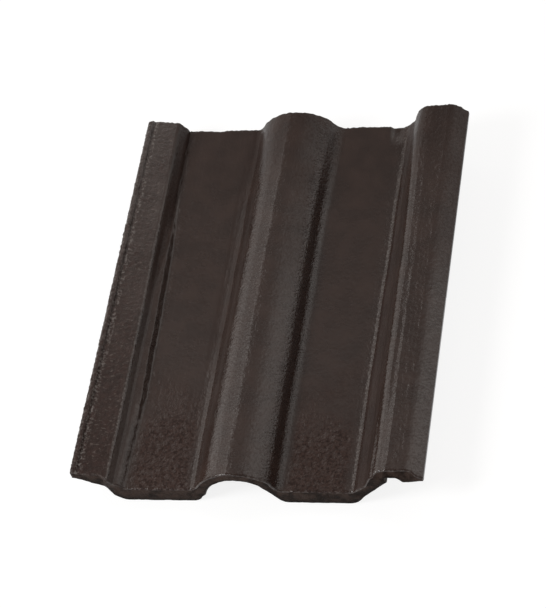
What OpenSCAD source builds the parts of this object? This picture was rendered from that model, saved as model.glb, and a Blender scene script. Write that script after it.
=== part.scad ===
// Interlocking double roman roof tile: two flat pans, a round roll between them,
// a raised underlap along the left edge and an overlapping roll along the right one.
// Millimetres. The tile lies on its weather bars and nibs, face up, tail towards -Y.

/* [Tile] */
// Length, head to tail
length = 420; // [380:1:460]
// Width, from the underlap's edge to the overlap's edge
width = 330; // [290:1:400]
// Width that a tile shares with its neighbour; the rest is the cover width
side_lap = 30; // [28:0.5:34]
// Thickness of the flat pans
pan_thickness = 12.5; // [10:0.5:15]

/* [Middle roll] */
// Radius of the roll's crown, on the upper face
roll_radius = 43; // [38:0.5:48]
// Height of the crown above the pans
roll_rise = 27; // [22:0.5:30]
// Thickness of the roll at its crown
roll_wall = 11; // [8:0.5:13]
// Radius of the hollow where the roll's upper face runs into the pan
roll_foot_radius = 10; // [6:0.5:14]
// Radius of the rounded edge where the roll's underside leaves the pan
roll_under_radius = 7; // [4:0.5:10]

/* [Overlap] */
// Distance of the overlapping roll's axis from the tile's edge
overlap_axis = 23; // [20:0.5:26]
// Radius of the overlapping roll's crown
overlap_radius = 34.5; // [32:0.5:37]
// Height of that crown above the pans
overlap_rise = 34; // [32:0.5:37]
// Thickness of the crown above the lip groove
overlap_wall = 8.5; // [7:0.5:10]
// Thickness of the web between the pan and the lip groove
web_thickness = 11.5; // [10:0.5:13]
// Thickness of the overlap's free edge
edge_thickness = 4; // [3:0.5:6]
// Width of the flat ramp at the foot of the overlapping roll
ramp_width = 14; // [12:0.5:18]
// Rise of that ramp above the pan
ramp_rise = 10.4; // [8:0.2:12]
// Depth of the shallow gutter beside the ramp
gutter_depth = 2.3; // [1:0.1:3.5]
// Width of that gutter
gutter_width = 11; // [9:0.5:16]

/* [Underlap] */
// Width of the raised underlap, from its edge to the arris above the pan
underlap_width = 36.5; // [34:0.5:38]
// Height of the underlap's channel above the pan
channel_rise = 16.5; // [14:0.5:18]
// Fall of the channel from the lip to the arris
channel_fall = 2; // [0.5:0.25:3]
// Width of the lip along the tile's edge
lip_width = 7; // [5:0.5:8]
// Height of the lip above the channel
lip_height = 3; // [1.5:0.25:4]
// Thickness of the underlap
underlap_thickness = 9.5; // [7:0.5:11]
// How far the underlap stops short of the tail
underlap_setback = 5; // [0:0.5:10]
// Gap between a lip or channel and the overlap that covers it
lap_clearance = 1.75; // [1:0.25:2.5]

/* [Underside] */
// Depth of the weather bars below the pans
bar_depth = 7.5; // [4:0.5:10]
// Width of a weather bar, along the tile
bar_width = 12; // [8:0.5:16]
// Distance between the two weather bars
bar_pitch = 28; // [20:1:40]
// Distance of the nibs' batten faces from the head
nib_setback = 22; // [14:0.5:40]
// Distance of the nibs' backs from the head
nib_margin = 4; // [1:0.5:8]
// Depth of the nibs below the pans
nib_depth = 16; // [11:0.5:20]
// Width of a nib, across the tile
nib_width = 42; // [30:1:50]
// Slope of a nib's back and sides, from the vertical
nib_draft = 12; // [4:1:16]

/* [Hidden] */
$fn = 96;
glaze = "#3b302d";

// The flanks stand at this share of the steepest slope that the roll's radii allow.
flank_share = 0.92;
// Slopes of the overlapping roll's near flank and of the web below it
overlap_flank = 60;
web_slope = 46;
// Flat strip between the overlapping roll's arc and its free edge
edge_flat = 3;
// Width of the bead's flat bottom and of the gutter's floor
bead_flat = 5;
gutter_floor = 4;
// The inner side of the underlap goes down to the pan in two steps, with a low ledge between.
ledge_width = 5;
ledge_rise = 2.3;
step_slope = 55;
ledge_slope = 45;
// Slope of the underlap's underside, near the pan and near the edge
underlap_slope = 45;
underlap_edge_slope = 29;
// Slope of a weather bar's ends
bar_end_slope = 58;
// Corner radii: edges that the die leaves crisp, and rounder ones
crisp = 1.2;
soft = 2.5;
round = 5;
// The weather bars stop this far short of the underlap, the roll and the overlap.
underlap_margin = 7.5;
roll_margin = 8.5;
overlap_margin = 5;
// Width over which the underlap's trimmed end runs out, just past the arris
trim_run = 8;
trim_past = 2.5;
// Overlap of the bars and nibs with the pan above them, and of the cuts with the air
merge = 2;
// Angle at which a corner's arc crosses the two lines that it rounds off
crossing = 3;
// The upper face and the underside are both outlines that reach down to a base below the tile.
base_z = -2 * roll_radius;

// Pitch at which tiles are laid side by side
cover_width = width - side_lap;

// Heights above the underside of the pans
pan_top = pan_thickness;
channel_z = pan_top + channel_rise;
lip_z = channel_z + lip_height;
arris_z = channel_z - channel_fall;
overlap_crown = pan_top + overlap_rise;
groove_roof = overlap_crown - overlap_wall;

// The middle roll: its underside's radius and rise, and the slope and half width of both faces
roll_under_r = roll_radius - roll_wall;
roll_under_rise = pan_top + roll_rise - roll_wall;
roll_flank = flank_slope(roll_radius, roll_rise, roll_foot_radius);
roll_under_flank = flank_slope(roll_under_r, roll_under_rise, roll_under_radius);
roll_half = roll_half_width(roll_radius, roll_rise, roll_flank);
roll_under_half = roll_half_width(roll_under_r, roll_under_rise, roll_under_flank);

// The overlapping roll: its axis, the slope of its far side and where its near flank meets the ramp
overlap_x = width - overlap_axis;
overlap_z = overlap_crown - overlap_radius;
overlap_fall = asin((overlap_axis - edge_flat) / overlap_radius);
ramp_top_z = pan_top + ramp_rise;
ramp_top_x = overlap_x - overlap_radius / sin(overlap_flank)
    + (ramp_top_z - overlap_z) / tan(overlap_flank);
ramp_x = ramp_top_x - ramp_width;
gutter_z = pan_top - gutter_depth;
edge_top_z = overlap_z + overlap_radius / cos(overlap_fall) - overlap_axis * tan(overlap_fall);
edge_under_z = edge_top_z - edge_thickness;

// The bead that hangs into the next tile's channel, the groove that clears its lip, and the web
bead_z = channel_z + lap_clearance;
bead_x = cover_width + lip_width + 2 * lap_clearance;
bead_end = bead_x + bead_flat;
bead_slope = atan((edge_under_z - bead_z) / (width - bead_end));
groove_x = cover_width - 2 * lap_clearance;
groove_end = cover_width + lip_width - lap_clearance;
web_foot_x = ramp_top_x - (ramp_top_z - web_thickness / cos(web_slope)) / tan(web_slope);
web_top_z = (groove_x - web_foot_x) * tan(web_slope);

// The underlap: its steps down to the pan and its underside
ledge_z = pan_top + ledge_rise;
ledge_x = underlap_width + (arris_z - ledge_z) / tan(step_slope);
underlap_foot_x = ledge_x + ledge_width + ledge_rise / tan(ledge_slope);
lip_under_z = lip_z - underlap_thickness;
underlap_under_x = underlap_width;
knee_x = (underlap_under_x * tan(underlap_slope) - lip_under_z)
    / (tan(underlap_slope) - tan(underlap_edge_slope));
knee_z = (underlap_under_x - knee_x) * tan(underlap_slope);

// The middle roll stands halfway between the underlap's foot and the overlap's ramp.
roll_x = (underlap_foot_x + ramp_x) / 2;

// The weather bars run across both pans, between the hollows under the laps and the roll.
bar_spans = [
    [underlap_under_x + underlap_margin, roll_x - roll_under_half - roll_margin],
    [roll_x + roll_under_half + roll_margin, web_foot_x - overlap_margin]
];

// The tile lies on the tail's weather bars and on the nibs, so its head is a little raised.
hanging_length = length - nib_setback;
nib_root = nib_setback - nib_margin;
lie_angle = atan((nib_depth - bar_depth) / hanging_length);
// Where the lying tile starts and ends along the floor: its crown at the tail, its pan at the head
lying_front = -overlap_crown * sin(lie_angle);
lying_back = length * cos(lie_angle);

// Steepest flank of a roll whose crown and foot arcs both touch it, eased by flank_share
function flank_slope(crown_r, rise, foot_r) =
    flank_share * acos((crown_r - rise + foot_r) / (crown_r + foot_r));

// Height at which two flanks of that slope would meet above a crown
function roll_apex(crown_r, rise, slope) = rise + crown_r * (1 / cos(slope) - 1);

// Distance from a roll's axis to the sharp foot of its flank
function roll_half_width(crown_r, rise, slope) = roll_apex(crown_r, rise, slope) / tan(slope);

// A corner of an outline is [x, z, radius]; these give the ends, the centre and the side of its arc.
function unit(v) = v / norm(v);
function flat(corner) = [corner[0], corner[1]];
function towards(from, to) = unit(flat(to) - flat(from));
function outward(p, c, n) = -unit(towards(c, p) + towards(c, n));
function half_angle(p, c, n) = acos(towards(c, p) * towards(c, n)) / 2;
function tangent(p, c, n) = flat(c) + towards(c, p) * c[2] / tan(half_angle(p, c, n));
function arc_centre(p, c, n) = flat(c) - outward(p, c, n) * c[2] * cos(crossing) / sin(half_angle(p, c, n));
function turns_left(p, c, n) = cross(flat(c) - flat(p), flat(n) - flat(c)) > 0;

// Face of an anticlockwise outline, with every corner rounded to its own radius
module rounded_outline(corners) {
    count = len(corners);
    function before(i) = corners[(i + count - 1) % count];
    function after(i) = corners[(i + 1) % count];
    chords = [
        for (i = [0 : count - 1])
            each [tangent(before(i), corners[i], after(i)), tangent(after(i), corners[i], before(i))]
    ];
    difference() {
        union() {
            polygon(chords);
            for (i = [0 : count - 1])
                if (corners[i][2] > 0 && turns_left(before(i), corners[i], after(i)))
                    arc_sector(before(i), corners[i], after(i));
        }
        for (i = [0 : count - 1])
            if (corners[i][2] > 0 && !turns_left(before(i), corners[i], after(i)))
                arc_sector(before(i), corners[i], after(i));
    }
}

// Sector of a corner's circle, reaching a little past the lines on both sides
module arc_sector(p, c, n) {
    side = outward(p, c, n);
    spread = 90 - half_angle(p, c, n) + 2 * crossing;
    reach = 3 * c[2];
    translate(arc_centre(p, c, n))
        rotate(atan2(side[1], side[0]))
            intersection() {
                circle(r = c[2]);
                polygon([
                    [0, 0],
                    [reach * cos(spread), -reach * sin(spread)],
                    [reach, 0],
                    [reach * cos(spread), reach * sin(spread)]
                ]);
            }
}

// Upper face of the overlapping roll, from its free edge to the pan: crown, ramp and gutter
function overlap_top() = let (
    spread = (overlap_flank + overlap_fall) / 2,
    lean = (overlap_fall - overlap_flank) / 2,
    reach = overlap_radius / cos(spread)
) [
    [width, edge_top_z, crisp],
    [overlap_x + reach * sin(lean), overlap_z + reach * cos(lean), overlap_radius],
    [ramp_top_x, ramp_top_z, crisp],
    [ramp_x, gutter_z, crisp],
    [ramp_x - gutter_floor, gutter_z, soft],
    [ramp_x - gutter_width, pan_top, soft]
];

// Upper face of the middle roll
function roll_top() = [
    [roll_x + roll_half, pan_top, roll_foot_radius],
    [roll_x, pan_top + roll_apex(roll_radius, roll_rise, roll_flank), roll_radius],
    [roll_x - roll_half, pan_top, roll_foot_radius]
];

// Upper face of the underlap, from the pan to the tile's edge: steps, channel and lip
function underlap_top() = [
    [underlap_foot_x, pan_top, round],
    [ledge_x + ledge_width, ledge_z, crisp],
    [ledge_x, ledge_z, soft],
    [underlap_width, arris_z, crisp],
    [lip_width + lip_height / 2, channel_z, crisp],
    [lip_width, lip_z, soft],
    [0, lip_z, soft]
];

// Underside of the overlap, from beyond its free edge to the pan: bead, groove and web
function overlap_under() = [
    [width + merge, edge_under_z + merge * tan(bead_slope), 0],
    [bead_end, bead_z, 2 * round],
    [bead_x, bead_z, soft],
    [groove_end, groove_roof, soft],
    [groove_x, groove_roof, crisp],
    [groove_x, web_top_z, crisp],
    [web_foot_x, 0, roll_under_radius]
];

// Underside of the middle roll
function roll_under() = [
    [roll_x + roll_under_half, 0, roll_under_radius],
    [roll_x, roll_apex(roll_under_r, roll_under_rise, roll_under_flank), roll_under_r],
    [roll_x - roll_under_half, 0, roll_under_radius]
];

// Underside of the underlap, from the pan to beyond the tile's edge
function underlap_under() = [
    [underlap_under_x, 0, roll_under_radius],
    [knee_x, knee_z, 2 * round],
    [-merge, lip_under_z + merge * tan(underlap_edge_slope), 0]
];

// The section: all that lies under the upper face, less all that lies under the underside
module section() {
    difference() {
        rounded_outline(concat(
            [[0, base_z, 0], [width, base_z, 0]],
            overlap_top(), roll_top(), underlap_top()
        ));
        rounded_outline(concat(
            [[-merge, base_z - merge, 0], [width + merge, base_z - merge, 0]],
            overlap_under(), roll_under(), underlap_under()
        ));
    }
}

// The section, swept from the tail to the head
module body() {
    translate([0, length, 0]) rotate([90, 0, 0]) linear_extrude(length) section();
}

// The underlap is trimmed back at the tail, running out past its arris.
module underlap_trim() {
    translate([0, 0, -merge])
        linear_extrude(lip_z + 2 * merge)
            polygon([
                [-merge, -merge],
                [underlap_width + trim_past, -merge],
                [underlap_width + trim_past, 0],
                [underlap_width + trim_past - trim_run, underlap_setback],
                [-merge, underlap_setback]
            ]);
}

// One weather bar below a pan, from one hollow to the next
module weather_bar(span) {
    run = (bar_depth + merge) / tan(bar_end_slope);
    translate([0, bar_width, 0])
        rotate([90, 0, 0])
            linear_extrude(bar_width)
                rounded_outline([
                    [span[0], -bar_depth, round],
                    [span[1], -bar_depth, round],
                    [span[1] + run, merge, 0],
                    [span[0] - run, merge, 0]
                ]);
}

// One nib: square to the batten, drafted on its back and sides
module nib(x) {
    drop = nib_depth + merge;
    inset = drop * tan(nib_draft);
    half = nib_width / 2;
    translate([x, hanging_length, merge])
        intersection() {
            translate([-half, 0, 0])
                rotate([90, 0, 90])
                    linear_extrude(nib_width)
                        polygon([[0, -drop], [nib_root - inset, -drop], [nib_root, 0], [0, 0]]);
            translate([0, nib_root, 0])
                rotate([90, 0, 0])
                    linear_extrude(nib_root)
                        polygon([[inset - half, -drop], [half - inset, -drop], [half, 0], [-half, 0]]);
        }
}

// The tile as it was moulded, tail at y = 0, pans' underside at z = 0
module moulded_tile() {
    difference() {
        union() {
            body();
            for (span = bar_spans) {
                for (y = [0, bar_pitch]) translate([0, y, 0]) weather_bar(span);
                nib((span[0] + span[1]) / 2);
            }
        }
        underlap_trim();
    }
}

// The tile as it lies on the floor, centred over the origin
module roof_tile() {
    color(glaze)
        translate([-width / 2, -(lying_front + lying_back) / 2, bar_depth * cos(lie_angle)])
            rotate([lie_angle, 0, 0])
                moulded_tile();
}

roof_tile();
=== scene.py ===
import math

import bmesh
import bpy
from mathutils import Matrix, Vector, geometry, noise


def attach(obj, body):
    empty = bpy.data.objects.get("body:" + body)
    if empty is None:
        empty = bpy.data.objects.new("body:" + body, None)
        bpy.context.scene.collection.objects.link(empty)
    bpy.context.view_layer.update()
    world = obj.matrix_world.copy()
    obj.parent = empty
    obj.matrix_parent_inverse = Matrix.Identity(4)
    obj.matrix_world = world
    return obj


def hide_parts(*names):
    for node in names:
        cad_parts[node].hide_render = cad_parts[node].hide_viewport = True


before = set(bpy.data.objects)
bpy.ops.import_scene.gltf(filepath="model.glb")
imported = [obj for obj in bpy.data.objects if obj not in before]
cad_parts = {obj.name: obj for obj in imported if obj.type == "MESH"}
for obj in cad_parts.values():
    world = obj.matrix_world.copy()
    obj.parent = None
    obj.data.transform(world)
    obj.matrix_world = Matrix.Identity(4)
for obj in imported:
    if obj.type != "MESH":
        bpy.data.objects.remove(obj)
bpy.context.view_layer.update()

# Sizes are in millimetres as the tile was moulded: across from the underlap's edge,
# along from the tail, up from the underside of the pans.
MM = 0.001
LENGTH = 420.0
WIDTH = 330.0
PAN_TOP = 12.5
BAR_DEPTH = 7.5
BAR_WIDTH = 12.0
BAR_STARTS = (0.0, 28.0)
BAR_FACE_LEAN = 0.3
# The two ends of each weather bar's level stretch, as (across, rounding that leads up, slope)
BARS = (
    ((49.5, 12.0, 42), (111.0, 9.0, 61)),
    ((201.0, 11.0, 57), (256.0, 14.0, 55)),
)
NIB_CENTRES = (79.2, 229.9)
NIB_DEPTH = 16.0
NIB_FACE = 398.0
NIB_BACK = 415.6
NIB_HALF = 20.6
NIB_DRAFT_RUN = 3.4
NIB_FACE_LEAN = 0.2
UNDERLAP_SET_BACK = 5.0
UNDERLAP_TRIM = (27.0, 37.0)
OVERLAP_CROWN = 46.5
CREST_SET_BACK = 3.5
CREST_DIP = 1.6
GUTTER_DEPTH = 2.3
# The underlap's arris, and the ledge at the foot of its flank
ARRIS = (35.5, 27.0)
FLANK_FALL = 1.85
LEDGE_EDGE = 47.6
LEDGE_FOOT = 51.4
# Where the ledge runs out towards the head, and where it is faded near the tail
LEDGE_RUN_OUT = (230.0, 360.0)
LEDGE_FADE = (50.0, 115.0)

# Corners of the section as (across, up, rounding)
UNDERLAP_UNDER = ((0.0, 22.5, 0.8), (31.41, 5.09, 10.0), (36.5, 0.0, 7.0))
ROLL_UNDER = ((122.87, 0.0, 7.0), (155.9, 83.55, 32.0), (188.93, 0.0, 7.0))
OVERLAP_UNDER = (
    (267.33, 0.0, 7.0), (296.5, 30.21, 1.2), (296.5, 38.0, 1.2), (305.25, 38.0, 2.5),
    (310.5, 30.75, 2.5), (315.5, 30.75, 10.0), (WIDTH, 33.98, 0.8),
)
OVERLAP_TOP = (
    (WIDTH, 37.98, 1.2), (317.0, 46.4, 20.0), (286.5, 44.4, 12.0), (280.6, 36.6, 6.0),
    (274.6, 22.9, 3.0), (262.4, PAN_TOP, 6.5),
)
ROLL_TOP = (
    (192.8, PAN_TOP, 9.0), (187.5, 25.76, 10.0), (149.04, 62.9, 43.0), (114.78, PAN_TOP, 10.0),
)
UNDERLAP_TOP = (
    (LEDGE_FOOT, PAN_TOP, 2.5), (LEDGE_EDGE, 18.6, 1.2), (40.0, 19.6, 2.0), (*ARRIS, 2.8),
    (6.6, 29.2, 1.2), (5.2, 32.0, 2.0), (0.0, 32.0, 2.5),
)
# How many of the overlap's corners, from its free edge on, are cut finely
FINE_CORNERS = 4

# Fine ridges that the die drew along the upper face, as (across, half width, height, share of
# the height that is left at the head)
DIE_LINES = (
    (9.8, 2.0, 0.5, 1.0), (34.0, 1.8, 0.2, 0.5), (56.0, 2.4, 0.05, 0.5), (108.6, 2.4, 0.14, 1.0),
    (139.5, 2.6, 0.1, 1.0), (150.3, 2.4, 0.36, 1.0), (183.5, 2.0, 0.16, 1.0),
    (266.8, 2.2, 0.2, 1.0), (289.8, 1.7, 0.35, 0.1), (297.4, 1.7, 0.5, 0.1),
    (313.0, 2.6, 0.1, 1.0),
)
# Where the die's edges move off across the tile, as (from, to, ease, along at the start,
# along at the full shift, shift)
SHIFTS = (
    (32, 56, 19, 60, 400, -3.0), (46, 53, 4, 160, 240, -0.8), (193, 197, 8, 290, 400, 3.2),
    (258, 268, 9, 30, 400, 2.0),
)
# Rough stretches of the upper face, as (from, to, ease, height, lumps' size, seed, stretch)
ROUGH_STRETCHES = (
    (4, 8.5, 1.5, 0.7, 3.0, 22, 1.0), (47, 52, 3, 0.5, 4.0, 23, 1.6),
    (181, 193, 6, 0.2, 3.0, 21, 1.3),
)

# How finely the faces are cut
UPPER_PITCH = 1.62
FINE_PITCH = 0.9
UNDER_PITCH = 3.0
ROW_PITCH = 1.65
UNDER_ROW_PITCH = 11.0
END_PITCH = 2.2
ARC_STEP = math.radians(14)
ROUND_STEPS = 4
# How far the ends are rounded off above and below, and how much of a tight corner that may use
TAIL_ROUND = (1.5, 1.5)
HEAD_ROUND = (1.6, 0.8)
TIGHT_SHARE = 0.7
# How far from the ends their uneven edges are felt
TAIL_REACH = 22.0
HEAD_REACH = 16.0
# How uneven the ends' faces are, and how clear of their rim the inner points stay
END_UNEVEN = 0.35
END_CLEAR = 0.6
SHARP_EDGE = math.radians(40)
# The finishes, in the order in which the tile takes them, and what they are told about each point
COATED, BARE, CUT = range(3)
MARKS = ("strip", "pan", "crinkle", "drag", "along", "across", "lower")
# Heights this close to the pans' underside count as on it, and points this close as one
ON_PAN = 0.01
SAME_POINT = 0.05


def smooth(low, high, at):
    """0 below low, 1 above high, eased in between."""
    t = min(max((at - low) / (high - low), 0.0), 1.0)
    return t * t * (3 - 2 * t)


def band(low, high, ease, at):
    """1 between low and high, falling to 0 over ease outside them."""
    return smooth(low - ease, low, at) * (1 - smooth(high, high + ease, at))


def ripple(x, y, size, seed, stretch=1.0):
    """Even noise from about -1 to 1 whose lumps are size across and stretch times that along."""
    return noise.noise(Vector((x / size, y / (size * stretch), seed * 7.31)))


def corner_arc(before, corner, after, pitch):
    """The points that round off one corner, and how far they may be drawn in."""
    at = Vector(corner[:2])
    back = (Vector(before[:2]) - at).normalized()
    on = (Vector(after[:2]) - at).normalized()
    half = back.angle(on) / 2
    radius = corner[2]
    centre = at + (back + on).normalized() * radius / math.sin(half)
    first = at + back * radius / math.tan(half) - centre
    last = at + on * radius / math.tan(half) - centre
    sweep = math.pi - 2 * half
    steps = max(2, math.ceil(sweep * radius / pitch), math.ceil(sweep / ARC_STEP))
    side = 1 if first.x * last.y - first.y * last.x > 0 else -1
    points = [
        centre + Matrix.Rotation(side * sweep * k / steps, 2) @ first for k in range(steps + 1)
    ]
    return points, radius * TIGHT_SHARE if side > 0 else math.inf


def tile_outline():
    """The section as a closed anticlockwise loop of (across, up, is upper face, draw limit)."""
    corners = [(c, UNDER_PITCH, False) for c in UNDERLAP_UNDER + ROLL_UNDER + OVERLAP_UNDER]
    corners += [(c, FINE_PITCH, True) for c in OVERLAP_TOP[:FINE_CORNERS]]
    plainer = OVERLAP_TOP[FINE_CORNERS:] + ROLL_TOP + UNDERLAP_TOP
    corners += [(c, UPPER_PITCH, True) for c in plainer]
    arcs = []
    for i, (corner, pitch, upper) in enumerate(corners):
        before = corners[i - 1][0]
        after = corners[(i + 1) % len(corners)][0]
        arcs.append((*corner_arc(before, corner, after, pitch), pitch, upper))
    loop = []
    for i, (arc, limit, pitch, upper) in enumerate(arcs):
        following = arcs[(i + 1) % len(arcs)][0][0]
        steps = max(1, round((following - arc[-1]).length / pitch))
        run = [arc[-1].lerp(following, k / steps) for k in range(1, steps)]
        loop += [(p.x, p.y, upper, limit) for p in arc]
        loop += [(p.x, p.y, upper, math.inf) for p in run]
    return with_stations(loop)


def with_stations(loop):
    """The loop with points added under the pans, so that bars and nibs get true edges."""
    edges = (NIB_HALF, NIB_HALF - NIB_DRAFT_RUN)
    stations = [mid + side * e for mid in NIB_CENTRES for side in (-1, 1) for e in edges]
    out = []
    for i, point in enumerate(loop):
        x, z, upper, _ = point
        if out and math.dist(out[-1][:2], (x, z)) < SAME_POINT:
            continue
        out.append(point)
        nx, nz = loop[(i + 1) % len(loop)][:2]
        if not upper and abs(z) < ON_PAN and abs(nz) < ON_PAN:
            between = sorted(e for e in stations if x + SAME_POINT < e < nx - SAME_POINT)
            out += [(e, 0.0, False, math.inf) for e in between]
    return out


def outward(loop):
    """Unit normals of the loop's points, pointing out of the clay."""
    found = []
    for i in range(len(loop)):
        a, b = loop[i - 1], loop[(i + 1) % len(loop)]
        along = Vector((b[0] - a[0], b[1] - a[1])).normalized()
        found.append((along.y, -along.x))
    return found


def tile_rows():
    """Where the section is repeated: (along, drawn in above, drawn in below, used underneath)."""
    turns = [math.radians(90) * k / ROUND_STEPS for k in range(1, ROUND_STEPS + 1)]
    tail = [
        (TAIL_ROUND[0] * (1 - math.sin(t)), *(r * (1 - math.cos(t)) for r in TAIL_ROUND), True)
        for t in reversed(turns)
    ]
    head = [
        (LENGTH - HEAD_ROUND[0] * (1 - math.sin(t)),
         *(r * (1 - math.cos(t)) for r in HEAD_ROUND), True)
        for t in turns
    ]
    stops = [TAIL_ROUND[0], LENGTH - HEAD_ROUND[0]]
    for start in BAR_STARTS:
        end = start + BAR_WIDTH
        faces = (start - BAR_FACE_LEAN, start, end - BAR_FACE_LEAN, end)
        stops += [y for y in faces if y > TAIL_ROUND[0]]
    stops += [NIB_FACE - NIB_FACE_LEAN, NIB_FACE, NIB_BACK - NIB_DRAFT_RUN, NIB_BACK]
    stops.sort()
    rows = []
    for start, end in zip(stops, stops[1:]):
        coarse = max(1, round((end - start) / UNDER_ROW_PITCH))
        fine = max(1, math.ceil((end - start) / coarse / ROW_PITCH))
        for k in range(coarse * fine):
            y = start + (end - start) * k / (coarse * fine)
            rows.append((y, 0.0, 0.0, k % fine == 0))
    rows.append((stops[-1], 0.0, 0.0, True))
    return tail + rows + head


def bar_floor(x):
    """Height of the weather bars' lower face."""
    found = math.inf
    for left, right in BARS:
        on_left = x < (left[0] + right[0]) / 2
        end, radius, slope = left if on_left else right
        past = end - x if on_left else x - end
        turn = radius * math.sin(math.radians(slope))
        on_arc = min(max(past, 0.0), turn)
        rise = radius - math.sqrt(radius ** 2 - on_arc ** 2)
        rise += max(past - turn, 0.0) * math.tan(math.radians(slope))
        found = min(found, rise - BAR_DEPTH)
    return found


def nib_depth(x, y):
    """How far a nib stands below the pan's underside."""
    if y < NIB_FACE - NIB_FACE_LEAN / 2:
        return 0.0
    back = (NIB_BACK - y) / NIB_DRAFT_RUN
    side = max(NIB_HALF - abs(x - mid) for mid in NIB_CENTRES) / NIB_DRAFT_RUN
    return NIB_DEPTH * min(max(min(side, back), 0.0), 1.0)


def underside(x, z, y):
    """Height of the underside with its bars and nibs."""
    if any(0 <= y - start + BAR_FACE_LEAN / 2 <= BAR_WIDTH for start in BAR_STARTS):
        z = min(z, bar_floor(x))
    return z - nib_depth(x, y) if abs(z) < ON_PAN else z


def strip_share(x):
    """1 on the underlap's rough channel and lip, 0 on the coated pans and rolls."""
    return 1 - smooth(32.8, 34.8, x)


def drag_share(x, y):
    """1 on the steep faces that the die left rough."""
    foot = 41 + 6 * band(280, 315, 60, y)
    step = 0.3 * band(47.5, 51.5, 1.5, x) * (1 - ledge_gone(y))
    return max(band(37.5, foot, 1.5, x), step, band(266.5, 279, 2, x))


def ledge_gone(y):
    """How much of the ledge at the underlap's foot has run out towards the head."""
    return smooth(*LEDGE_RUN_OUT, y)


def upper_face(x, z, y):
    """Height of the upper face, whose ledge runs out at both ends."""
    flank = max(PAN_TOP, ARRIS[1] - FLANK_FALL * (x - ARRIS[0]))
    far = ledge_gone(y) * band(36.5, 54, 1.0, x) * max(z - flank, 0.0)
    near = 0.95 * (1 - smooth(*LEDGE_FADE, y)) * band(51, 54, 8, x)
    return z - max(far, near * max(z - PAN_TOP, 0.0))


def pan_share(x):
    """1 on the flats of the two pans."""
    return max(band(59, 104, 8, x), band(205, 251, 8, x))


def crinkle_share(x, y):
    """1 where the coat has crinkled at the lower ends of the pans."""
    edge = 90 + 40 * ripple(x, y, 34, 3) + 18 * ripple(x, y, 11, 4)
    return pan_share(x) * (1 - smooth(edge - 45, edge + 45, y))


def tail_shift(x):
    """How far the tail stands back from its nominal end."""
    trim = UNDERLAP_SET_BACK * (1 - smooth(*UNDERLAP_TRIM, x))
    return trim - 0.3 + 0.35 * ripple(x, 0, 9, 1) + 0.3 * ripple(x, 0, 2.5, 2)


def head_shift(x):
    """How far the head stands back from its nominal end: a torn edge, rounder at the corners."""
    torn = 1.1 * ripple(x, 0, 13, 5) + 1.0 * ripple(x, 0, 4, 6) + 0.6 * ripple(x, 0, 1.9, 18)
    corners = 2.5 * smooth(318, 331, x) ** 2 + 1.5 * (1 - smooth(0, 6, x))
    crests = 0.7 * band(135, 180, 15, x) + 2.0 * band(284, 330, 8, x)
    return torn + corners + crests - 1.6


def crest_set_back(x):
    """How far the upper edge of the overlap's tail stands back from its lower edge."""
    return CREST_SET_BACK * band(288, 318, 8, x)


def drift(x, y):
    """How far the die's edges wander across the tile, most towards the head."""
    edges = sum(
        shift * band(low, high, ease, x) * smooth(start, full, y)
        for low, high, ease, start, full, shift in SHIFTS
    )
    ledge = 1.5 * band(46, 53, 4, x) * band(75, 95, 60, y)
    narrowing = 2.5 * smooth(41, LEDGE_EDGE, x) + 2.2 * smooth(LEDGE_EDGE, LEDGE_FOOT, x)
    ledge -= narrowing * ledge_gone(y) * (1 - smooth(56, 75, x))
    pull = smooth(230, 370, y) * (1 - 0.6 * smooth(385, LENGTH, y))
    shoulder = -3.0 * band(279, 296, 9, x) * pull
    wander = 0.7 * ripple(x, y, 45, 20, 1.6) * band(12, 318, 8, x)
    return edges + ledge + shoulder + wander


def die_lines(x, y):
    """Height of the fine ridges along the tile."""
    far = smooth(110, 310, y)
    return sum(
        rise * (1 - far * (1 - left)) * math.exp(-((x - centre) / half) ** 2)
        for centre, half, rise, left in DIE_LINES
    )


def relief(x, y):
    """Height of the upper face's own unevenness."""
    strip = strip_share(x)
    pan = pan_share(x)
    height = 0.2 * ripple(x, y, 38, 7, 2.2) + (0.1 - 0.05 * pan) * ripple(x, y, 3.4, 8)
    height += (1 - pan) * 0.08 * ripple(x, y, 3.2, 13, 9)
    for low, high, ease, tall, size, seed, stretch in ROUGH_STRETCHES:
        height += tall * band(low, high, ease, x) * ripple(x, y, size, seed, stretch)
    height -= GUTTER_DEPTH * band(252, 257, 4, x) * smooth(396, 416, y)
    broken = 0.8 + 0.5 * ripple(x, y, 30, 14, 1.5) + 0.45 * ripple(x, y, 6, 17, 1.4)
    height += die_lines(x, y) * broken
    height -= CREST_DIP * band(284, 290, 5, x) * (1 - smooth(15, 110, y))
    if strip > 0:
        lumps = max(ripple(x, y, 4.5, 15, 0.6) - 0.1, 0.0)
        grit = 0.55 * ripple(x, y, 2.4, 9) + 0.15 * ripple(x, y, 7, 10, 0.45) + 0.8 * lumps
        height += strip * grit
    crinkle = crinkle_share(x, y)
    if crinkle > 0:
        height += crinkle * (0.34 * ripple(x, y, 2.3, 11, 0.85) + 0.14 * ripple(x, y, 4.4, 12, 0.8))
    return height


def lay_down(p):
    """A point of the moulded tile, in metres, as the tile lies on its bars and nibs."""
    lie = math.atan((NIB_DEPTH - BAR_DEPTH) / NIB_FACE)
    front = -OVERLAP_CROWN * math.sin(lie)
    back = LENGTH * math.cos(lie)
    turned = Matrix.Rotation(lie, 3, "X") @ Vector(p)
    moved = turned + Vector((-WIDTH / 2, -(front + back) / 2, BAR_DEPTH * math.cos(lie)))
    return moved * MM


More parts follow.
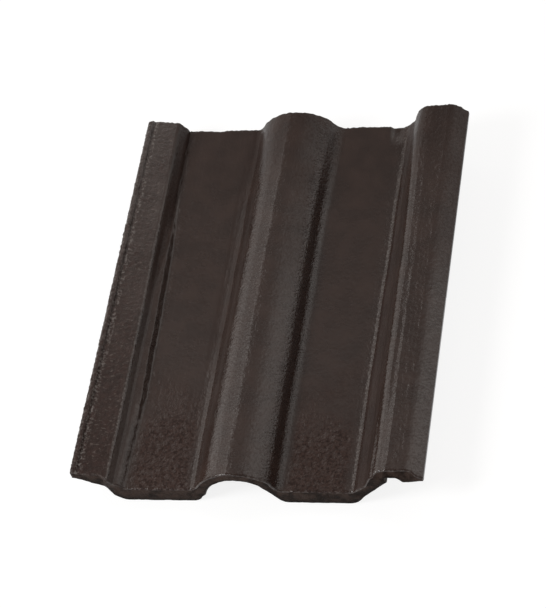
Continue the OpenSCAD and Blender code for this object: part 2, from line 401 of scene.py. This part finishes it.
def make_tile():
    """The whole tile as one closed skin: a fine upper face, a plainer underside and two ends."""
    loop = tile_outline()
    normals = outward(loop)
    bm = bmesh.new()
    marks = {name: bm.verts.layers.float.new(name) for name in MARKS}
    above = [i for i, point in enumerate(loop) if point[2]]
    below = [i for i, point in enumerate(loop) if not point[2]]
    grid = []
    for y, above_in, below_in, used_below in tile_rows():
        tail = 1 - smooth(0, TAIL_REACH, y)
        head = smooth(LENGTH - HEAD_REACH, LENGTH, y)
        row = {}
        for i in below * used_below + above:
            x, z, upper, limit = loop[i]
            nx, nz = normals[i]
            along = y + tail_shift(x) * tail - head_shift(x) * head
            along += crest_set_back(x) * tail * upper
            lift = -min(above_in if upper else below_in, limit)
            shift = 0.0
            if upper:
                z = upper_face(x, z, y)
                lift += relief(x, y)
                shift = drift(x, y)
            else:
                z = underside(x, z, y)
            vert = bm.verts.new(lay_down((x + nx * lift + shift, along, z + nz * lift)))
            if upper:
                vert[marks["strip"]] = strip_share(x)
                vert[marks["crinkle"]] = crinkle_share(x, y)
                vert[marks["drag"]] = drag_share(x, y)
                vert[marks["pan"]] = pan_share(x)
            else:
                vert[marks["lower"]] = 1.0
            vert[marks["along"]] = y / LENGTH
            vert[marks["across"]] = x
            row[i] = vert
        grid.append(row)
    skin(bm, grid, above, COATED)
    skin(bm, [row for row in grid if below[0] in row], below, BARE)
    for under, over in ((below[-1], above[0]), (below[0], above[-1])):
        join_edge(bm, grid, under, over)
    close_end(bm, [grid[0][i] for i in range(len(loop))])
    close_end(bm, [grid[-1][i] for i in range(len(loop))])
    bmesh.ops.recalc_face_normals(bm, faces=bm.faces)
    mesh = bpy.data.meshes.new("roof_tile_coated")
    bm.to_mesh(mesh)
    bm.free()
    mesh.shade_smooth()
    mesh.set_sharp_from_angle(angle=SHARP_EDGE)
    return mesh


def skin(bm, rows, columns, finish):
    """Quads between neighbouring rows and columns of points."""
    for near, far in zip(rows, rows[1:]):
        for i, k in zip(columns, columns[1:]):
            bm.faces.new((near[i], near[k], far[k], far[i])).material_index = finish


def join_edge(bm, grid, under, over):
    """Triangles along a side edge, between the underside's few rows and the upper face's many."""
    anchor = grid[0][under]
    for near, far in zip(grid, grid[1:]):
        bm.faces.new((anchor, near[over], far[over]))
        if under in far:
            bm.faces.new((anchor, far[over], far[under]))
            anchor = far[under]


def close_end(bm, ring):
    """Closes one end of the sweep with a slightly uneven skin of triangles."""
    lower = bm.verts.layers.float["lower"]
    flat = [Vector((v.co.x, v.co.z)) for v in ring]
    count = len(flat)
    step = END_PITCH * MM
    low = Vector((min(p.x for p in flat), min(p.y for p in flat)))
    high = Vector((max(p.x for p in flat), max(p.y for p in flat)))
    inner = []
    for a in range(int((high.x - low.x) / step)):
        for b in range(int((high.y - low.y) / step)):
            p = low + Vector((a + 0.5 + 0.5 * (b % 2), b + 0.5)) * step
            if inside(p, flat) and min((p - q).length for q in flat) > END_CLEAR * step:
                inner.append(p)
    edges = [(i, (i + 1) % count) for i in range(count)]
    verts, _, faces, sources, _, _ = geometry.delaunay_2d_cdt(flat + inner, edges, [], 1, 1e-9)
    made = []
    for p, origin in zip(verts, sources):
        own = [o for o in origin if o < count]
        if own:
            made.append(ring[own[0]])
            continue
        (up, above), (down, below) = (
            min(((flat[i] - p).length, i) for i in range(count) if ring[i][lower] == side)
            for side in (0.0, 1.0)
        )
        share = up / (up + down)
        y = ring[above].co.y * (1 - share) + ring[below].co.y * share
        y += END_UNEVEN * MM * ripple(p.x / MM, p.y / MM, 5, 16)
        vert = bm.verts.new((p.x, y, p.y))
        vert[lower] = share
        made.append(vert)
    for face in faces:
        if len(set(made[i] for i in face)) == 3:
            bm.faces.new([made[i] for i in face]).material_index = CUT


def inside(p, ring):
    """Whether a point lies within a closed ring."""
    odd = False
    for a, b in zip(ring, ring[1:] + ring[:1]):
        if (a.y > p.y) != (b.y > p.y) and p.x < a.x + (b.x - a.x) * (p.y - a.y) / (b.y - a.y):
            odd = not odd
    return odd


class Value:
    """A socket that takes part in sums."""

    def __init__(self, nodes, socket):
        self.nodes = nodes
        self.socket = socket

    def maths(self, operation, first, second):
        """The result of a Math node."""
        return self.nodes.add("Math", {"operation": operation}, {0: first, 1: second})

    def __add__(self, other):
        return self.maths("ADD", self, other)

    def __radd__(self, other):
        return self.maths("ADD", other, self)

    def __sub__(self, other):
        return self.maths("SUBTRACT", self, other)

    def __rsub__(self, other):
        return self.maths("SUBTRACT", other, self)

    def __mul__(self, other):
        return self.maths("MULTIPLY", self, other)

    def __rmul__(self, other):
        return self.maths("MULTIPLY", other, self)


class Nodes:
    """The node tree of a finish or of the studio's light."""

    def __init__(self, holder):
        holder.use_nodes = True
        self.holder = holder
        self.tree = holder.node_tree
        self.tree.nodes.clear()

    def add(self, kind, settings=None, sockets=None, out=0):
        """One output of a new node, whose settings come before its sockets' values and links."""
        node = self.tree.nodes.new("ShaderNode" + kind)
        for name, value in (settings or {}).items():
            if name == "stops":
                ramp = node.color_ramp.elements
                while len(ramp) < len(value):
                    ramp.new(1.0)
                for stop, (place, colour) in zip(ramp, value):
                    stop.position = place
                    stop.color = (*colour, 1.0)
            else:
                setattr(node, name, value)
        for name, value in (sockets or {}).items():
            if isinstance(value, Value):
                self.tree.links.new(value.socket, node.inputs[name])
            else:
                node.inputs[name].default_value = value
        return Value(self, node.outputs[out]) if node.outputs else None

    def mark(self, name):
        """What the tile's points were told under that name."""
        return self.add("Attribute", {"attribute_name": name}, out="Fac")

    def blend(self, share, first, second):
        """A colour between two, with that share of the second."""
        colours = {6: (*first, 1.0) if isinstance(first, tuple) else first, 7: (*second, 1.0)}
        return self.add("Mix", {"data_type": "RGBA"}, {0: share, **colours}, out=2)

    def ease(self, value, low, high):
        """0 below low, 1 above high, eased in between."""
        limits = {"Value": value, "From Min": low, "From Max": high}
        return self.add("MapRange", {"interpolation_type": "SMOOTHSTEP"}, limits)

    def between(self, value, starts, full, ends, gone):
        """1 from full to ends, eased up from starts and down to gone."""
        return self.ease(value, starts, full) * (1 - self.ease(value, ends, gone))

    def lumps(self, size, detail=2.0, stretch=1.0):
        """Noise from 0 to 1 whose lumps are size across and stretch times that along."""
        place = self.add("TexCoord", out="Object")
        if stretch != 1.0:
            scale = (1.0, 1.0 / stretch, 1.0)
            place = self.add("VectorMath", {"operation": "MULTIPLY"}, {0: place, 1: scale})
        sockets = {"Vector": place, "Scale": 1.0 / (size * MM), "Detail": detail}
        return self.add("TexNoise", None, sockets, out="Fac")

    def done(self, kind, shader):
        """The finished material or world."""
        self.add("Output" + kind, None, {"Surface": shader})
        return self.holder


# Colours of the coat, of the bare clay underneath and of the cut ends, among them painted glints
# and painted shade
COAT_DARK = (0.0195, 0.0103, 0.0078)
COAT_LIGHT = (0.0295, 0.0159, 0.012)
CRINKLE_RED = (0.036, 0.0165, 0.012)
# Painted shade in the pits of the crinkled coat
PIT_PAINTED_SHADE = (0.01, 0.005, 0.0038)
STRIP_DARK = (0.015, 0.0065, 0.005)
STRIP_RED = (0.034, 0.016, 0.0125)
BLOOM_GREY = (0.05, 0.04, 0.036)
DASH_PALE = (0.1, 0.08, 0.07)
FLANK_PALE = (0.045, 0.031, 0.026)
# Painted highlight: pale glints painted along the lip, the bead, the tail's top edge, the arris and
# the crease
GLINT_PALE = (0.15, 0.132, 0.122)
CLAY_DARK = (0.026, 0.02, 0.017)
CLAY_LIGHT = (0.05, 0.042, 0.038)
CLAY_SPECK = (0.11, 0.098, 0.09)
END_DARK = (0.012, 0.0075, 0.0058)
END_LIGHT = (0.044, 0.029, 0.0235)
END_GRAIN = (0.075, 0.055, 0.047)
# Painted shade along the cut ends' lower edge
END_SHADE = (0.006, 0.004, 0.003)
# How deep the grain of the coat and of the clay, and that of the cut ends, is, in metres
GRAIN_DEPTH = 0.0005
END_GRAIN_DEPTH = 0.0008


def brown_coat():
    """The shiny dark brown coat of the upper face, thinner where it crinkled or was drawn rough,
    with painted glints along its edges and painted shade in the pits of its crinkle.
    """
    n = Nodes(bpy.data.materials.new("brown_coat"))
    strip = n.mark("strip")
    pan = n.mark("pan")
    crinkle = n.mark("crinkle")
    drag = n.mark("drag")
    along = n.mark("along")
    across = n.mark("across")
    cloud = n.lumps(24, 5)
    mottle = n.lumps(5, 4)
    peel = n.lumps(3.2, 3)
    drawn = n.lumps(3.0, 2, 14)
    grit = n.lumps(2.0, 4)
    dash = n.lumps(4.0, 3, 0.5)
    speck = n.lumps(2.6, 2)
    # Dark flecks in the crinkled coat: painted shade where its pits lie, and the coat is dulled
    # there too
    pit_shade = crinkle * (1 - n.ease(speck, 0.4, 0.54)) * n.ease(mottle, 0.3, 0.6)
    lip = 1 - n.ease(across, 2.0, 4.6)
    groove = n.between(across, 4.6, 5.9, 7.6, 8.9)
    bead = n.between(across, 6.9, 8.9, 9.9, 12.2)
    arris = n.between(across, 33.0, 34.3, 34.7, 36.0)
    ledge = n.between(across, 38.9, 41.6, 51.2, 54.5)
    flank = drag * (1 - n.ease(across, 66.0, 132.0))
    fillet = n.between(across, 101.6, 104.9, 113.9, 117.2)
    streak = n.between(across, 176.6, 184.8, 193.1, 199.7)
    crease = n.between(across, 259.4, 260.7, 262.7, 264.0)
    crown = n.ease(across, 295.4, 300.3)
    lee = n.between(across, 161.7, 171.6, 181.5, 186.5) + n.ease(across, 311.9, 318.5)
    tail = 1 - n.ease(along, 0.001, 0.004)
    bloom = strip * n.ease(along, 0.1, 0.95) * n.ease(cloud, 0.3, 0.65)
    # Where glints are painted: the lip, the groove and bead beside it, the tail's top edge, the
    # arris and the crease at the foot of the overlap's ramp
    edges = lip * 0.55 + bead * (0.4 + 0.3 * along) + groove * (1 - along) * 0.9
    edges = edges + tail * 0.35 + arris * (1 - along) * 0.5 + crease * 0.35
    glint = n.ease(speck, 0.48, 0.64)
    pale = flank * (1 - n.ease(along, 0.2, 0.5)) * (0.2 + 0.7 * mottle)
    colour = n.blend(n.ease(cloud, 0.25, 0.75), COAT_DARK, COAT_LIGHT)
    colour = n.blend(crinkle * mottle, colour, CRINKLE_RED)
    # Painted shade in the crinkle's pits
    colour = n.blend(pit_shade * 0.7, colour, PIT_PAINTED_SHADE)
    colour = n.blend(strip * (1 - along) * 0.5, colour, STRIP_DARK)
    colour = n.blend(strip * n.ease(mottle, 0.4, 0.65) * 0.6, colour, STRIP_RED)
    colour = n.blend(bloom * 0.4, colour, BLOOM_GREY)
    colour = n.blend(strip * n.ease(dash, 0.58, 0.72) * 0.6, colour, DASH_PALE)
    colour = n.blend(pale, colour, FLANK_PALE)
    # Painted highlights: pale glints along those edges
    colour = n.blend(glint * edges, colour, GLINT_PALE)
    height = peel * (0.6 - 0.35 * pan) + drawn * 0.2
    rubbed = 0.5 - 0.4 * pan - crown * 0.35 + streak * 1.1
    rubbed = rubbed + strip * 1.0 + crinkle * 1.0 + drag * 0.6
    height = height + rubbed * grit
    bump = n.add("Bump", None, {"Strength": 1.0, "Distance": GRAIN_DEPTH, "Height": height})
    rough = 0.12 + 0.07 * cloud + strip * (0.1 + 0.2 * mottle) + drag * 0.3
    shine = n.add(
        "BsdfPrincipled", None,
        {"Base Color": colour, "Roughness": rough, "IOR": 1.5, "Normal": bump},
    )
    dull = n.add(
        "BsdfPrincipled", None,
        {"Base Color": colour, "Roughness": 0.5, "Specular IOR Level": 0.15, "Normal": bump},
    )
    dusty = n.ease(grit, 0.44, 0.64) * (1 - pan) * (1 - strip) * 0.3
    thin = crinkle * (0.2 + 0.55 * n.ease(mottle, 0.3, 0.62)) + pit_shade * 0.4 + dusty
    thin = thin + strip * (1 - along) * 0.8
    thin = thin + (1 - strip) * (1 - pan * 0.7) * n.ease(along, 0.7, 0.98) * 0.6
    thin = thin + fillet * n.ease(along, 0.2, 0.4) * 0.5
    thin = thin + flank * (n.ease(along, 0.4, 0.6) - n.ease(along, 0.72, 0.9) * 0.8) * 0.8
    thin = thin + ledge * (1 - n.ease(along, 0.12, 0.28)) * 0.15
    thin = thin + lee * n.ease(along, 0.42, 0.68) * (1 - n.ease(along, 0.8, 0.9)) * 0.4
    thin = n.add("Clamp", None, {"Value": thin})
    return n.done("Material", n.add("MixShader", None, {0: thin, 1: shine, 2: dull}))


def bare_underside():
    """Uncoated clay of the underside."""
    n = Nodes(bpy.data.materials.new("bare_underside"))
    cloud = n.lumps(9, 6)
    grain = n.lumps(1.1, 4)
    drag = n.lumps(2.2, 3, 18)
    speck = n.lumps(2.4, 2)
    colour = n.blend(n.ease(cloud, 0.32, 0.66), CLAY_DARK, CLAY_LIGHT)
    colour = n.blend(n.ease(speck, 0.66, 0.76) * 0.5, colour, CLAY_SPECK)
    height = grain * 0.6 + drag * 0.4
    bump = n.add("Bump", None, {"Strength": 1.0, "Distance": GRAIN_DEPTH, "Height": height})
    shader = n.add(
        "BsdfPrincipled", None,
        {"Base Color": colour, "Roughness": 0.6 + 0.25 * grain, "Specular IOR Level": 0.2,
         "Normal": bump},
    )
    return n.done("Material", shader)


def cut_end():
    """The cut faces of the tail and head, blotched with coat, with painted shade along their lower
    edge.
    """
    n = Nodes(bpy.data.materials.new("cut_end"))
    lower = n.mark("lower")
    cloud = n.lumps(9, 6)
    grain = n.lumps(1.6, 4)
    colour = n.blend(n.ease(cloud, 0.34, 0.62), END_DARK, END_LIGHT)
    colour = n.blend(n.ease(grain, 0.6, 0.75) * 0.6, colour, END_GRAIN)
    # Painted shade: the ends darken towards their lower edge
    colour = n.blend(n.ease(lower, 0.55, 1.0) * 0.75, colour, END_SHADE)
    bump = n.add("Bump", None, {"Strength": 1.0, "Distance": END_GRAIN_DEPTH, "Height": grain})
    shader = n.add(
        "BsdfPrincipled", None,
        {"Base Color": colour, "Roughness": 0.5 + 0.2 * grain, "Specular IOR Level": 0.05,
         "Normal": bump},
    )
    return n.done("Material", shader)


def white_floor():
    """A white floor that keeps the tile's shadow."""
    n = Nodes(bpy.data.materials.new("white_floor"))
    seen = n.add("LightPath", out="Is Camera Ray")
    shown = n.add("LightPath", out="Is Glossy Ray")
    through = n.add("LightPath", out="Is Transmission Ray")
    plain = n.add("BsdfDiffuse", None, {"Color": (0.8, 0.8, 0.8, 1)})
    soft = n.add("BsdfDiffuse", None, {"Color": (0.2, 0.2, 0.2, 1)})
    glow = n.add("Emission", None, {"Color": (1, 1, 1, 1), "Strength": 0.85})
    white = n.add("AddShader", None, {0: soft, 1: glow})
    share = n.add("Clamp", None, {"Value": seen + shown + through})
    return n.done("Material", n.add("MixShader", None, {0: share, 1: plain, 2: white}))


def link(name, data):
    """A new object in the scene."""
    made = bpy.data.objects.new(name, data)
    bpy.context.scene.collection.objects.link(made)
    return made


tile = link("roof_tile_coated", make_tile())
for finish in (brown_coat(), bare_underside(), cut_end()):
    tile.data.materials.append(finish)
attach(tile, "root")
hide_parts("roof_tile")

FLOOR_HALF = 12.0
floor_mesh = bpy.data.meshes.new("floor")
floor_mesh.from_pydata(
    [(a * FLOOR_HALF, b * FLOOR_HALF, 0) for a, b in ((-1, -1), (1, -1), (1, 1), (-1, 1))],
    [], [(0, 1, 2, 3)],
)
floor_mesh.materials.append(white_floor())
link("floor", floor_mesh)

# Brightness of the studio by the turn about the tile's length, from level on the left, through
# overhead, to level on the right
WALL_TURNS = (
    (0, 1.05), (17, 1.1), (35, 0.88), (46, 0.78), (51, 1.1), (55, 2.9), (59, 1.0), (63, 0.5),
    (72, 0.43), (80, 0.48), (90, 0.53), (100, 0.68), (109, 1.02), (128, 1.15), (180, 1.05),
)
# Share of it that is left by how far the light comes from behind the head
DEPTH_SHARES = (
    (0.0, 0.4), (0.5, 0.4), (0.63, 0.3), (0.7, 1.5), (0.74, 1.6), (0.77, 1.02), (0.81, 0.66),
    (0.87, 1.2), (1.0, 1.3),
)
# The ramps hold these levels as shares of this one
PEAK = 2.5
WARMTH = (1.03, 0.985, 0.945)


def studio_light():
    """A plain pale room about the tile, whose brightness changes with the direction."""
    n = Nodes(bpy.data.worlds.new("studio"))
    towards = n.add("TexCoord", out="Generated")
    x, y, z = (n.add("SeparateXYZ", None, {0: towards}, out=axis) for axis in "XYZ")
    turn = n.add("Math", {"operation": "ARCTAN2"}, {0: z, 1: 0 - x})
    walls = n.add(
        "ValToRGB", {"stops": [(t / 180, [c * l / PEAK for c in WARMTH]) for t, l in WALL_TURNS]},
        {"Fac": turn * (1 / math.pi)},
    )
    depth = n.add(
        "ValToRGB", {"stops": [(t, (l / PEAK,) * 3) for t, l in DEPTH_SHARES]},
        {"Fac": y * 0.5 + 0.5},
    )
    both = n.add("VectorMath", {"operation": "MULTIPLY"}, {0: walls, 1: depth})
    return n.done("World", n.add("Background", None, {"Color": both, "Strength": PEAK ** 2}))


bpy.context.scene.world = studio_light()


def softbox(name, towards, distance, size, radiance):
    """A soft rectangular lamp of that brightness, which faces the tile."""
    lamp = bpy.data.lights.new(name, "AREA")
    lamp.shape = "RECTANGLE"
    lamp.size, lamp.size_y = size
    lamp.energy = math.pi * size[0] * size[1] * radiance
    holder = link(name, lamp)
    holder.location = Vector(towards).normalized() * distance
    holder.rotation_euler = Vector(towards).to_track_quat("Z", "Y").to_euler()


softbox("key", towards=(-0.6, -0.4, 0.69), distance=2.2, size=(0.7, 0.7), radiance=18.0)

CAMERA_PLACE = (0.54695, -1.25264, 1.70447)
CAMERA_FORWARD = Vector((-0.25561, 0.57665, -0.77597))
CAMERA_UP = Vector((0.00469, 0.80337, 0.59547))
camera = link("camera", bpy.data.cameras.new("camera"))
camera.data.lens = 134.937
camera.data.sensor_width = 36.0
camera.data.clip_end = 50.0
forward = CAMERA_FORWARD.normalized()
right = forward.cross(CAMERA_UP).normalized()
turn = Matrix((right, right.cross(forward), -forward)).transposed().to_4x4()
camera.matrix_world = Matrix.Translation(CAMERA_PLACE) @ turn
bpy.context.scene.camera = camera
bpy.context.scene.view_settings.view_transform = "Standard"
